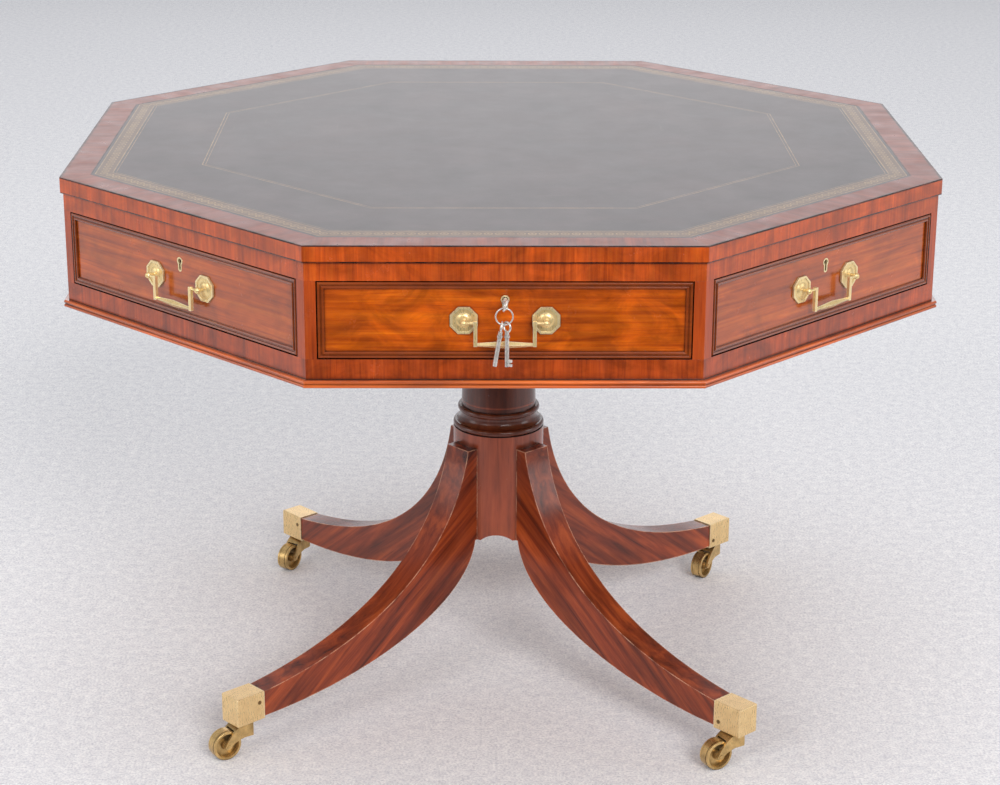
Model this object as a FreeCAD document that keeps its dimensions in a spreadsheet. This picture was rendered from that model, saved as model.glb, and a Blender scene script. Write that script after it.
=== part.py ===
# Octagonal drum table: a revolving drum with four drawers and four sham fronts, on a turned
# pillar with four sabre legs and brass castors.
# Millimetres, +Z up. The origin is on the floor under the pillar, and the front drawer faces -Y.
import FreeCAD, Part
import os
import Sketcher

SIZES = {
    # The drum
    "height_total": 754.5,
    "top_across_flats": 1100,
    "top_thickness": 20,
    "banding_width": 38,
    "veneer_thickness": 1.5,
    "frieze_set_back": 3.5,
    "rail_depth": 24,
    "top_rail_height": 22,
    "opening_height": 92.5,
    "bottom_rail_height": 24,
    "post_face": 13.2,
    "base_height": 9,
    "base_projection": 6,
    "base_groove": 0.8,
    "base_lip": 36,
    "bottom_board_thickness": 12,
    "floor_hole_slack": 2,
    "mortise_slack": 1,
    "mortise_spare_depth": 3,
    # Drawer and sham fronts
    "drawer_gap": 1.2,
    "panel_sink": 2.5,
    "front_thickness": 18,
    "bead_width": 8,
    "bead_base": 1.6,
    "bead_groove": 1,
    "backing_thickness": 12,
    # Drawer boxes, runners and guides
    "drawer_length": 308,
    "drawer_side_height": 76,
    "drawer_side_thickness": 9,
    "drawer_bottom_thickness": 5,
    "drawer_bottom_rise": 8,
    "runner_inside": 20,
    "guide_width": 9,
    "guide_height": 18,
    # Handles
    "handle_half_span": 46.7,
    "handle_height": 46,
    "plate_across_flats": 31.4,
    "plate_thickness": 2.4,
    "plate_rim": 2.2,
    "plate_dish": 1.3,
    "boss_radius": 9,
    "boss_height": 3.4,
    "boss_curve": 7.5,
    "boss_top_rim": 1,
    "stem_radius": 2.5,
    "post_neck_inset": 0.3,
    "ball_radius": 3.9,
    "handle_stand_off": 12,
    "nut_radius": 6.5,
    "nut_thickness": 4,
    "bail_half_span": 33.5,
    "bail_drop": 25.4,
    "bail_arm": 4.2,
    "bail_bar_end": 3.8,
    "bail_bar_middle": 8.4,
    "bail_pin_radius": 1.6,
    "bail_pin_end_gap": 0.5,
    "running_gap": 0.06,
    # Keyhole, lock and keys
    "keyhole_drop": 21,
    "keyhole_head_radius": 3.3,
    "keyhole_slot_half": 1.6,
    "keyhole_tail": 9.5,
    "escutcheon_rim": 1.6,
    "escutcheon_depth": 3,
    "escutcheon_proud": 0.3,
    "lock_half_width": 25,
    "lock_height": 40,
    "lock_depth": 10,
    "lock_wall": 1.2,
    "lock_pin_radius": 1.4,
    "bolt_half_width": 12,
    "bolt_thickness": 3.2,
    "bolt_height": 30,
    "bolt_throw": 6,
    "bolt_slack": 0.3,
    "key_shank_radius": 2.6,
    "key_reach": 24,
    "key_bow_radius": 6.2,
    "key_bow_wire": 1.3,
    "key_bow_tilt": 20,
    "key_bit_length": 9,
    "key_bit_half": 1.1,
    "key_collar_rim": 0.9,
    "key_collar_length": 2.5,
    "key_pipe_overrun": 1,
    "ring_radius": 9.7,
    "ring_wire": 0.9,
    "ring_seat_gap": 0.6,
    "spare_bow_radius": 5.6,
    "spare_bow_wire": 1.2,
    "spare_shank_radius": 2.5,
    "spare_length": 41,
    "spare_spread": 3.2,
    "spare_tilt": 9,
    "spare_turn": 40,
    "spare_collar_rim": 0.8,
    "spare_collar_length": 2.4,
    "spare_collar_drop": 6.8,
    "spare_bit_reach": 5.5,
    "spare_bit_inset": 1.5,
    "spare_bit_height": 8,
    "spare_notch_depth": 3,
    "spare_notch_inset": 3,
    "spare_notch_height": 2,
    # Pillar and bearing
    "pedestal_turn": -2.75,
    "pillar_low": 198.5,
    "pillar_radius": 62.5,
    "pillar_body_top": 351,
    "ring_quirk": 2,
    "ring_swell": 2.2,
    "lower_ring_height": 8.5,
    "lower_ring_depth": 4,
    "cove_height": 14,
    "cove_hollow": 2.6,
    "neck_radius": 53,
    "upper_ring_height": 8,
    "upper_ring_radius": 56.5,
    "shaft_radius": 51.5,
    "shaft_top_radius": 46,
    "collar_radius": 62,
    "collar_height": 22,
    "collar_curve": 28,
    "vault_half": 22,
    "vault_rise": 9,
    "vault_overrun": 5,
    "block_radius": 150,
    "block_height": 28,
    "block_edge": 8,
    "block_edge_curve": 8.8,
    "pivot_radius": 16,
    "pivot_depth": 90,
    "pivot_plate_radius": 60,
    "pivot_plate_thickness": 6,
    "pivot_washer_radius": 27,
    "pivot_washer_thickness": 3,
    "pivot_nut_flats": 46,
    "pivot_nut_height": 18,
    "pivot_end": 5,
    # Legs
    "leg_top": 332.5,
    "leg_top_radius": 76,
    "leg_width": 42,
    "leg_fall_angle": 80,
    "leg_upper_fall": 110,
    "leg_upper_run": 245,
    "leg_run_angle": 6,
    "leg_lower_fall": 101,
    "leg_lower_run": 153,
    "dovetail_depth": 18,
    "dovetail_neck_half": 8,
    "dovetail_tail_half": 12,
    "dovetail_shoulder": 14,
    "dovetail_overlap": 1,
    "spider_half_width": 12,
    "spider_thickness": 4,
    "spider_end": 59,
    "spider_screw_place": 53,
    "spider_screw_radius": 2,
    "spider_screw_depth": 14,
    "spider_screw_head": 4,
    "spider_screw_cap": 2,
    # Castors
    "cup_mouth": 431,
    "cup_length": 44,
    "cup_width": 34,
    "cup_height": 39,
    "cup_low": 47.5,
    "cup_edge": 1.2,
    "cup_wall": 1.5,
    "cup_floor": 3,
    "cup_screw_inset": 8,
    "cup_screw_high": 25,
    "cup_screw_low": 11,
    "cup_screw_radius": 1.3,
    "cup_screw_head": 2.6,
    "cup_screw_depth": 9,
    "cup_screw_cap": 0.5,
    "swivel_inset": 22,
    "swivel_radius": 4,
    "swivel_head": 4.8,
    "swivel_head_height": 4,
    "castor_trail": 29,
    "wheel_radius": 20,
    "wheel_half_width": 8.5,
    "wheel_tread_half": 4.6,
    "wheel_groove": 0.9,
    "wheel_groove_width": 0.8,
    "wheel_rim_ease": 0.4,
    "wheel_web_slope": 1.2,
    "wheel_rim": 3.6,
    "wheel_hub_radius": 5.6,
    "wheel_web_half": 2,
    "axle_radius": 2.4,
    "axle_end": 0.7,
    "fork_cheek": 3.2,
    "fork_side_gap": 0.5,
    "fork_tread_gap": 1.4,
    "fork_crown_height": 20,
    "fork_crown_half": 7.5,
    "fork_throat": 5,
    "fork_boss": 5,
    "fork_boss_curve": 5.1,
    "fork_outer_curve": 62,
    "fork_inner_curve": 38,
    "trail_front_left": -146,
    "trail_front_right": -150,
    "trail_back_left": -124,
    "trail_back_right": -124,
}

# Sizes worked out from the driving ones
TAN = "tan(22.5)"
BEAD_CURVE = "0.515"
BEAD_RISE = f"({BEAD_CURVE} - sqrt({BEAD_CURVE} ^ 2 - 0.25))"
TOP = "(dim.top_across_flats / 2)"
FIELD = f"({TOP} - dim.banding_width)"
FRIEZE = f"({TOP} - dim.frieze_set_back)"
RAIL_IN = f"({FRIEZE} - dim.rail_depth)"
BASE_OUT = f"({FRIEZE} + dim.base_projection)"
BASE_IN = f"({RAIL_IN} - dim.base_lip)"
VENEER_LOW = "(dim.height_total - dim.veneer_thickness)"
SLAB_LOW = "(dim.height_total - dim.top_thickness)"
OPEN_TOP = f"({SLAB_LOW} - dim.top_rail_height)"
OPEN_LOW = f"({OPEN_TOP} - dim.opening_height)"
BASE_TOP = f"({OPEN_LOW} - dim.bottom_rail_height)"
BASE_LOW = f"({BASE_TOP} - dim.base_height)"
BOARD_TOP = f"({BASE_TOP} + dim.bottom_board_thickness)"
OPEN_HALF = f"({FRIEZE} * {TAN} - dim.post_face)"
FRONT_HALF = f"({OPEN_HALF} - dim.drawer_gap)"
FRONT_LOW = f"({OPEN_LOW} + dim.drawer_gap)"
FRONT_TOP = f"({OPEN_TOP} - dim.drawer_gap)"
PANEL = f"({FRIEZE} - dim.panel_sink)"
PANEL_BACK = f"({PANEL} - dim.front_thickness)"
DRAWER_END = f"({FRIEZE} - dim.drawer_length)"
GUIDE_OUT = f"({OPEN_HALF} + dim.guide_width)"
SHAM_BACK = f"({PANEL_BACK} - dim.backing_thickness)"
RUN_START = f"({SHAM_BACK} / cos(45) - {GUIDE_OUT} - dim.drawer_gap)"
HANDLE_Z = f"({OPEN_LOW} + dim.handle_height)"
PIVOT_Y = f"(-{PANEL} - dim.handle_stand_off)"
KEY_Z = f"({FRONT_TOP} - dim.keyhole_drop)"
LOCK_Y = f"(-{PANEL_BACK} - dim.lock_depth)"
BOLT_Y = f"(-{PANEL_BACK} - dim.lock_wall - dim.bolt_slack - dim.bolt_thickness)"
BOLT_TOP = f"({FRONT_TOP} - dim.bolt_slack)"
BOW_Y = f"(-{PANEL} - dim.key_reach)"
RING_SEAT = "(dim.key_bow_radius - dim.key_bow_wire - dim.ring_wire - dim.ring_seat_gap)"
RING_X = f"(-{RING_SEAT} * sin(dim.key_bow_tilt))"
RING_Z = f"({KEY_Z} - {RING_SEAT} * cos(dim.key_bow_tilt) - dim.ring_radius)"
BLOCK_LOW = f"({BASE_TOP} - dim.block_height)"
PLATE_TOP = f"({BOARD_TOP} + dim.pivot_plate_thickness)"
NUT_LOW = f"({PLATE_TOP} + dim.pivot_washer_thickness)"
PIVOT_TOP = f"({NUT_LOW} + dim.pivot_nut_height + dim.pivot_end)"
CUP_END = "(dim.cup_mouth + dim.cup_length)"
FOOT_HALF = "(dim.cup_width / 2 - dim.cup_wall)"
FOOT_LOW = "(dim.cup_low + dim.cup_floor)"
FOOT_TOP = "(dim.cup_low + dim.cup_height - dim.cup_wall)"
FOOT_END = f"({CUP_END} - dim.cup_wall)"
SWIVEL = "(dim.cup_mouth + dim.swivel_inset)"
CROWN_LOW = "(dim.cup_low - dim.fork_crown_height)"
FORK_HALF = "(dim.wheel_half_width + dim.fork_side_gap + dim.fork_cheek)"

SIDES = range(0, 360, 45)
DRAWERS = {"front": 0, "right": 90, "back": 180, "left": 270}
SHAMS = {"front_right": 45, "back_right": 135, "back_left": 225, "front_left": 315}
LEGS = {"back_right": 45, "back_left": 135, "front_left": 225, "front_right": 315}
ORIGIN = ("0", "0", "0")

doc = FreeCAD.newDocument("drum_table")
sheet = doc.addObject("Spreadsheet::Sheet", "dim")
nodes = []


def fill_sheet():
    """Write every driving size into the sheet, beside its name."""
    for row, (alias, size) in enumerate(SIZES.items(), start=1):
        sheet.set(f"A{row}", alias)
        sheet.set(f"B{row}", str(size))
        sheet.setAlias(f"B{row}", alias)
    doc.recompute()


def num(expression):
    """Value of an expression on the sheet's sizes."""
    value = sheet.evalExpression(expression)
    return float(getattr(value, "Value", value))


def place(obj, at=ORIGIN, turn="0"):
    """Bind an object's place, and its turn about Z, to the sheet."""
    for axis, expression in zip("xyz", at):
        obj.setExpression(f"Placement.Base.{axis}", expression)
    obj.setExpression("Placement.Rotation.Angle", turn)
    return obj


def box(name, x, y, z):
    """Block between two corners: each axis gives its low and high side."""
    obj = doc.addObject("Part::Box", name)
    for size, axis, (low, high) in zip(("Length", "Width", "Height"), "xyz", (x, y, z)):
        obj.setExpression(size, f"({high}) - ({low})")
        obj.setExpression(f"Placement.Base.{axis}", low)
    return obj


def rod(name, radius, length, axis, at):
    """Cylinder that runs along a row axis from the middle of its first end."""
    obj = doc.addObject("Part::Cylinder", name)
    obj.setExpression("Radius", radius)
    obj.setExpression("Height", length)
    turns = {"x": ((0, 1, 0), 90), "y": ((1, 0, 0), -90), "z": ((0, 0, 1), 0)}
    direction, angle = turns[axis]
    obj.Placement.Rotation = FreeCAD.Rotation(FreeCAD.Vector(*direction), angle)
    for letter, expression in zip("xyz", at):
        obj.setExpression(f"Placement.Base.{letter}", expression)
    return obj


def hoop(name, radius, wire, rotation, at):
    """Round wire bent into a closed hoop."""
    obj = doc.addObject("Part::Torus", name)
    obj.setExpression("Radius1", radius)
    obj.setExpression("Radius2", wire)
    obj.Placement.Rotation = rotation
    for letter, expression in zip("xyz", at):
        obj.setExpression(f"Placement.Base.{letter}", expression)
    return obj


def cut(name, base, *tools):
    """Take one tool after another out of a solid."""
    for tool in tools:
        obj = doc.addObject("Part::Cut", name)
        obj.Base = base
        obj.Tool = tool
        base = obj
    return base


def fuse(name, *members):
    """Join overlapping solids into one."""
    obj = doc.addObject("Part::MultiFuse", name)
    obj.Shapes = list(members)
    obj.Refine = True
    return obj


def common(name, base, tool):
    """Keep what two solids share."""
    obj = doc.addObject("Part::Common", name)
    obj.Base = base
    obj.Tool = tool
    return obj


def copy(source, at=ORIGIN, turn="0"):
    """Linked copy of a piece, moved and turned about Z."""
    link = doc.addObject("App::Link", source.Name + "_copy")
    link.LinkedObject = source
    return place(link, at, turn)


def around(source, angles=SIDES):
    """Linked copies of a piece, turned about the table's axis."""
    return [copy(source, turn=str(angle)) for angle in angles]


def node(label, members, at=ORIGIN, turn="0"):
    """One sub-part: its separate solids, at their place."""
    obj = doc.addObject("Part::Compound", label)
    obj.Label = label
    obj.Links = members
    nodes.append(place(obj, at, turn))
    return obj


def arc_through(start, end, radius):
    """Arc under a half circle: a positive radius turns left on the way from start to end."""
    chord = end - start
    left = FreeCAD.Vector(-chord.y, chord.x, 0).normalize()
    side = 1 if radius > 0 else -1
    height = (radius * radius - chord.Length ** 2 / 4) ** 0.5
    middle = (start + end) / 2 + left * side * (height - abs(radius))
    return Part.Arc(start, middle, end)


def outline(body, plane, points, offset="0"):
    """Closed sketch whose corners, and the radius after a corner with three values, are bound."""
    sketch = body.newObject("Sketcher::SketchObject", body.Name + "_outline")
    origin_plane = next(item for item in body.Origin.OriginFeatures if item.Role == plane)
    sketch.AttachmentSupport = [(origin_plane, "")]
    sketch.MapMode = "FlatFace"
    sketch.setExpression("AttachmentOffset.Base.z", offset)
    corners = [FreeCAD.Vector(num(point[0]), num(point[1]), 0) for point in points]
    count = len(points)
    ends = []
    for i, point in enumerate(points):
        start, end = corners[i], corners[(i + 1) % count]
        if len(point) == 3:
            radius = num(point[2])
            sketch.addGeometry(arc_through(start, end, radius), False)
            ends.append((1, 2) if radius > 0 else (2, 1))
        else:
            sketch.addGeometry(Part.LineSegment(start, end), False)
            ends.append((1, 2))
    for i in range(count):
        after = (i + 1) % count
        sketch.addConstraint(Sketcher.Constraint("Coincident", i, ends[i][1], after, ends[after][0]))
    for i, point in enumerate(points):
        for kind, expression in zip(("DistanceX", "DistanceY"), point):
            bind(sketch, Sketcher.Constraint(kind, -1, 1, i, ends[i][0], num(expression)), expression)
        if len(point) == 3:
            size = f"abs({point[2]})"
            bind(sketch, Sketcher.Constraint("Radius", i, num(size)), size)
    return sketch


def bind(sketch, constraint, expression):
    """Add a sketch constraint and tie it to the sheet."""
    index = sketch.addConstraint(constraint)
    sketch.setExpression(f"Constraints[{index}]", expression)


def pad(name, plane, points, length, start="0"):
    """Body drawn as a closed outline and padded along its plane's normal."""
    body = doc.addObject("PartDesign::Body", name)
    sketch = outline(body, plane, points, start)
    feature = body.newObject("PartDesign::Pad", name + "_pad")
    feature.Profile = sketch
    feature.setExpression("Length", length)
    return body


def revolve(name, plane, points):
    """Body turned on the vertical axis of its sketch."""
    body = doc.addObject("PartDesign::Body", name)
    sketch = outline(body, plane, points)
    feature = body.newObject("PartDesign::Revolution", name + "_turning")
    feature.Profile = sketch
    feature.ReferenceAxis = (sketch, ["V_Axis"])
    feature.Angle = 360
    return body


def round_edges(body, radius, chosen):
    """Round those edges of a body that a test chooses."""
    doc.recompute()
    base = body.Tip
    edges = [f"Edge{i}" for i, edge in enumerate(base.Shape.Edges, start=1) if chosen(edge)]
    feature = body.newObject("PartDesign::Fillet", body.Name + "_rounding")
    feature.Base = (base, edges)
    feature.setExpression("Radius", radius)


def octagon(apothem, middle="0"):
    """Corners of an octagon with a flat towards -v, its middle at that height."""
    half = f"({apothem}) * {TAN}"
    return [
        (half, f"{middle} - ({apothem})"),
        (apothem, f"{middle} - {half}"),
        (apothem, f"{middle} + {half}"),
        (half, f"{middle} + ({apothem})"),
        (f"-({half})", f"{middle} + ({apothem})"),
        (f"-({apothem})", f"{middle} + {half}"),
        (f"-({apothem})", f"{middle} - {half}"),
        (f"-({half})", f"{middle} - ({apothem})"),
    ]


def segment(name, inner, outer, low, high):
    """Mitred front length of an octagonal frame."""
    points = [
        (f"-{outer} * {TAN}", f"-{outer}"),
        (f"{outer} * {TAN}", f"-{outer}"),
        (f"{inner} * {TAN}", f"-{inner}"),
        (f"-{inner} * {TAN}", f"-{inner}"),
    ]
    return pad(name, "XY_Plane", points, f"{high} - {low}", low)


def double_bead(u, v, width, groove, along_v):
    """Two beads with a groove between, from corner (u, v), as outline points turning left."""
    bead = f"(({width}) - {groove}) / 2"
    curve = f"{BEAD_CURVE} * {bead}"
    steps = ["0", bead, f"{bead} + {groove}", width]
    radii = [curve, None, curve, None]
    points = []
    for step, radius in zip(steps, radii):
        corner = (u, f"{v} - ({step})") if along_v else (f"{u} + ({step})", v)
        points.append(corner if radius is None else (*corner, radius))
    return points


def make_top():
    """Board, crossbanded border and leather of the writing top."""
    board = pad("slab", "XY_Plane", octagon(TOP), f"{VENEER_LOW} - {SLAB_LOW}", SLAB_LOW)
    node("top_board", [board])
    banding = segment("banding", FIELD, TOP, VENEER_LOW, "dim.height_total")
    node("top_crossbanding", around(banding))
    leather = pad("leather", "XY_Plane", octagon(FIELD), "dim.veneer_thickness", VENEER_LOW)
    node("writing_leather", [leather])


def make_frieze():
    """Rails, corner posts, base moulding and floor of the drum."""
    rail = segment("top_rail", RAIL_IN, FRIEZE, OPEN_TOP, SLAB_LOW)
    mortise = box(
        "bolt_mortise",
        ("-dim.bolt_half_width - dim.mortise_slack", "dim.bolt_half_width + dim.mortise_slack"),
        (f"{BOLT_Y} - dim.mortise_slack", f"{BOLT_Y} + dim.bolt_thickness + dim.mortise_slack"),
        (OPEN_TOP, f"{OPEN_TOP} + dim.bolt_throw + dim.mortise_spare_depth"),
    )
    lock_rail = cut("lock_rail", rail, mortise)
    node("frieze_top_rail", around(lock_rail, DRAWERS.values()) + around(rail, SHAMS.values()))
    low_rail = segment("low_rail", RAIL_IN, FRIEZE, BASE_TOP, OPEN_LOW)
    node("frieze_bottom_rail", around(low_rail))
    node("corner_posts", around(corner_post()))
    node("base_moulding", around(moulding_length()))
    floor = pad("floor", "XY_Plane", octagon(RAIL_IN), "dim.bottom_board_thickness", BASE_TOP)
    clear = "dim.pivot_radius + dim.floor_hole_slack"
    hole = rod("floor_hole", clear, "dim.bottom_board_thickness", "z", ("0", "0", BASE_TOP))
    node("drum_bottom_board", [cut("floor_board", floor, hole)])


def corner_post():
    """Post behind one arris of the drum, square to the openings on both sides."""
    near = [(OPEN_HALF, f"-{FRIEZE}"), (f"{FRIEZE} * {TAN}", f"-{FRIEZE}")]
    far = [(f"{RAIL_IN} * {TAN}", f"-{RAIL_IN}"), (OPEN_HALF, f"-{RAIL_IN}")]
    over = [(f"(-({u}) - ({v})) * cos(45)", f"(-({u}) + ({v})) * cos(45)") for u, v in (near[0], far[1])]
    points = [*near, *over, *far]
    return pad("post", "XY_Plane", points, "dim.opening_height", OPEN_LOW)


def moulding_length():
    """Front length of the base: a flat shelf with two beads on its edge, mitred at both ends."""
    bead = "(dim.base_height - dim.base_groove) / 2"
    edge = f"(-{BASE_OUT} + {BEAD_RISE} * {bead})"
    points = [
        (f"-{BASE_IN}", BASE_TOP),
        *double_bead(edge, BASE_TOP, "dim.base_height", "dim.base_groove", True),
        (f"-{BASE_IN}", BASE_LOW),
    ]
    length = f"2 * {BASE_OUT} * {TAN}"
    run = pad("base_run", "YZ_Plane", points, length, f"-{BASE_OUT} * {TAN}")
    wedge = segment("base_mitre", BASE_IN, BASE_OUT, BASE_LOW, BASE_TOP)
    return common("base_length", run, wedge)


def mirror_of(strip):
    """Copy of a bead strip on the far side of the front: turned half round its middle."""
    link = doc.addObject("App::Link", strip.Name + "_far")
    link.LinkedObject = strip
    link.Placement.Rotation = FreeCAD.Rotation(FreeCAD.Vector(0, 1, 0), 180)
    link.setExpression("Placement.Base.z", f"{FRONT_LOW} + {FRONT_TOP}")
    return link


def bead_frame():
    """Four mitred strips of double bead round the edge of a front."""
    crest = f"(-{PANEL} - dim.bead_base)"
    reach = "dim.bead_base + dim.bead_width / 2"
    inner_half = f"({FRONT_HALF} - dim.bead_width)"
    inner_top = f"({FRONT_TOP} - dim.bead_width)"
    inner_low = f"({FRONT_LOW} + dim.bead_width)"
    section = [
        (f"-{PANEL}", FRONT_TOP),
        *double_bead(crest, FRONT_TOP, "dim.bead_width", "dim.bead_groove", True),
        (f"-{PANEL}", inner_top),
    ]
    level = pad("bead_level", "YZ_Plane", section, f"2 * {FRONT_HALF}", f"-{FRONT_HALF}")
    level_mitre = pad("bead_level_mitre", "XZ_Plane", [
        (f"-{FRONT_HALF}", FRONT_TOP),
        (f"-{inner_half}", inner_top),
        (inner_half, inner_top),
        (FRONT_HALF, FRONT_TOP),
    ], reach, PANEL)
    section = [
        (f"-{FRONT_HALF}", f"-{PANEL}"),
        *double_bead(f"-{FRONT_HALF}", crest, "dim.bead_width", "dim.bead_groove", False),
        (f"-{inner_half}", f"-{PANEL}"),
    ]
    upright = pad("bead_upright", "XY_Plane", section, f"{FRONT_TOP} - {FRONT_LOW}", FRONT_LOW)
    upright_mitre = pad("bead_upright_mitre", "XZ_Plane", [
        (f"-{FRONT_HALF}", FRONT_LOW),
        (f"-{inner_half}", inner_low),
        (f"-{inner_half}", inner_top),
        (f"-{FRONT_HALF}", FRONT_TOP),
    ], reach, PANEL)
    strips = [common("bead_top", level, level_mitre), common("bead_side", upright, upright_mitre)]
    return strips + [mirror_of(strip) for strip in strips]


def keyhole(name, grow, near, depth):
    """Prism of keyhole outline: a round head over a slot with a round end."""
    slot = f"(dim.keyhole_slot_half + {grow})"
    tail_z = f"{KEY_Z} - dim.keyhole_tail"
    head = rod(name + "_head", f"dim.keyhole_head_radius + {grow}", depth, "y", ("0", near, KEY_Z))
    tail = rod(name + "_tail", slot, depth, "y", ("0", near, tail_z))
    web = box(name + "_web", (f"-{slot}", slot), (near, f"{near} + {depth}"), (tail_z, KEY_Z))
    return fuse(name, head, web, tail)


def front_board():
    """Front with its keyhole, its rimmed recess and the two holes for the handle."""
    board = box(
        "front_blank",
        (f"-{FRONT_HALF}", FRONT_HALF),
        (f"-{PANEL}", f"-{PANEL_BACK}"),
        (FRONT_LOW, FRONT_TOP),
    )
    recess = keyhole("rim_recess", "dim.escutcheon_rim", f"-{PANEL}", "dim.escutcheon_depth")
    through = keyhole("key_way", "0", f"-{PANEL}", "dim.front_thickness")
    holes = [
        rod("stem_hole", "dim.stem_radius", "dim.front_thickness", "y", (side, f"-{PANEL}", HANDLE_Z))
        for side in ("dim.handle_half_span", "-dim.handle_half_span")
    ]
    return cut("front_bored", board, recess, through, *holes)


def escutcheon():
    """Brass rim let into the keyhole."""
    near = f"(-{PANEL} - dim.escutcheon_proud)"
    depth = "(dim.escutcheon_depth + dim.escutcheon_proud)"
    outer = keyhole("rim_outer", "dim.escutcheon_rim", near, depth)
    inner = keyhole("rim_inner", "0", near, depth)
    return cut("key_rim", outer, inner)


def handle_fittings():
    """Octagonal plates with their ball posts and nuts, for one handle."""
    flat = "(dim.plate_across_flats / 2)"
    blank = pad("plate_blank", "XZ_Plane", octagon(flat), "dim.plate_thickness", PANEL)
    floor = f"{PANEL} + dim.plate_thickness - dim.plate_dish"
    dish = pad("plate_dish", "XZ_Plane", octagon(f"{flat} - dim.plate_rim"), "dim.plate_dish", floor)
    boss = revolve("plate_boss", "XY_Plane", [
        ("0", f"-{PANEL}"),
        ("0", f"-{PANEL} - dim.boss_height"),
        ("dim.stem_radius + dim.boss_top_rim", f"-{PANEL} - dim.boss_height", "dim.boss_curve"),
        ("dim.boss_radius", f"-{PANEL} - dim.plate_thickness + dim.plate_dish"),
        ("dim.boss_radius", f"-{PANEL}"),
    ])
    crest = ("0", f"-{PANEL} - dim.boss_height", "0")
    bore = rod("plate_bore", "dim.stem_radius", "dim.boss_height", "y", crest)
    plate = cut("plate", fuse("plate_raised", cut("plate_dished", blank, dish), boss), bore)
    neck = "(dim.stem_radius - dim.post_neck_inset)"
    ball_start = f"({PIVOT_Y} + sqrt(dim.ball_radius ^ 2 - {neck} ^ 2))"
    post = revolve("post_turned", "XY_Plane", [
        ("0", f"-{PANEL_BACK} + dim.nut_thickness"),
        ("0", f"{PIVOT_Y} - dim.ball_radius", "dim.ball_radius"),
        (neck, ball_start),
        (neck, f"-{PANEL} - dim.boss_height"),
        ("dim.stem_radius", f"-{PANEL} - dim.boss_height"),
        ("dim.stem_radius", f"-{PANEL_BACK} + dim.nut_thickness"),
    ])
    nut_blank = rod("nut_blank", "dim.nut_radius", "dim.nut_thickness", "y", ("0", f"-{PANEL_BACK}", "0"))
    nut_bore = rod("nut_bore", "dim.stem_radius", "dim.nut_thickness", "y", ("0", f"-{PANEL_BACK}", "0"))
    nut = cut("nut", nut_blank, nut_bore)
    fittings = []
    past = "dim.bail_pin_end_gap"
    mouth = f"(dim.ball_radius + {past})"
    for side, start in (("dim.handle_half_span", f"-{mouth}"), ("-dim.handle_half_span", f"-{past}")):
        pin_room = "dim.bail_pin_radius + dim.running_gap"
        hole = rod("pin_hole", pin_room, f"{mouth} + {past}", "x", (start, PIVOT_Y, "0"))
        drilled = cut("post_drilled", post, hole)
        fittings += [copy(piece, (side, "0", HANDLE_Z)) for piece in (plate, drilled, nut)]
    return fittings


def bail():
    """Drop handle: pins, square arms and a bar that swells to its middle."""
    half = "dim.bail_half_span"
    arm = "(dim.bail_arm / 2)"
    bar_z = f"{HANDLE_Z} - dim.bail_drop"
    parts = []
    for side, start in (("1", half), ("-1", "-dim.handle_half_span")):
        reach = f"dim.handle_half_span - {half}"
        parts.append(rod("bail_pin", "dim.bail_pin_radius", reach, "x", (start, PIVOT_Y, HANDLE_Z)))
        parts.append(box(
            "bail_arm",
            (f"{side} * {half} - {arm}", f"{side} * {half} + {arm}"),
            (f"{PIVOT_Y} - {arm}", f"{PIVOT_Y} + {arm}"),
            (f"{bar_z} - dim.bail_bar_end / 2", f"{HANDLE_Z} + {arm}"),
        ))
    sections = []
    thicknesses = {f"-{half}": "dim.bail_bar_end", "0": "dim.bail_bar_middle", half: "dim.bail_bar_end"}
    for at, size in thicknesses.items():
        section = doc.addObject("Part::RegularPolygon", "bar_section")
        section.Polygon = 4
        section.setExpression("Circumradius", f"{size} / 2")
        section.Placement.Rotation = FreeCAD.Rotation(FreeCAD.Vector(0, 1, 0), 90)
        for letter, expression in zip("xyz", (at, PIVOT_Y, bar_z)):
            section.setExpression(f"Placement.Base.{letter}", expression)
        sections.append(section)
    bar = doc.addObject("Part::Loft", "bail_bar")
    bar.Sections = sections
    bar.Solid = True
    bar.Ruled = True
    return fuse("bail", bar, *parts)


def lock_case():
    """Lock let into the back of a front, with its drill pin and a slot for the bolt."""
    back = f"-{PANEL_BACK}"
    low = f"({FRONT_TOP} - dim.lock_height)"
    half = "dim.lock_half_width"
    wall = "dim.lock_wall"
    case = box("lock_blank", (f"-{half}", half), (LOCK_Y, back), (low, FRONT_TOP))
    hollow = box(
        "lock_hollow",
        (f"-{half} + {wall}", f"{half} - {wall}"),
        (f"{LOCK_Y} + {wall}", f"{back} - {wall}"),
        (f"{low} + {wall}", f"{FRONT_TOP} - {wall}"),
    )
    way = keyhole("lock_way", "0", LOCK_Y, wall)
    slot = box(
        "bolt_slot",
        ("-dim.bolt_half_width - dim.bolt_slack", "dim.bolt_half_width + dim.bolt_slack"),
        (f"{BOLT_Y} - dim.bolt_slack", f"{BOLT_Y} + dim.bolt_thickness + dim.bolt_slack"),
        (f"{FRONT_TOP} - {wall}", FRONT_TOP),
    )
    pin = rod("drill_pin", "dim.lock_pin_radius", "dim.lock_depth", "y", ("0", LOCK_Y, KEY_Z))
    return fuse("lock_case", cut("lock_shell", case, hollow, way, slot), pin)


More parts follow.
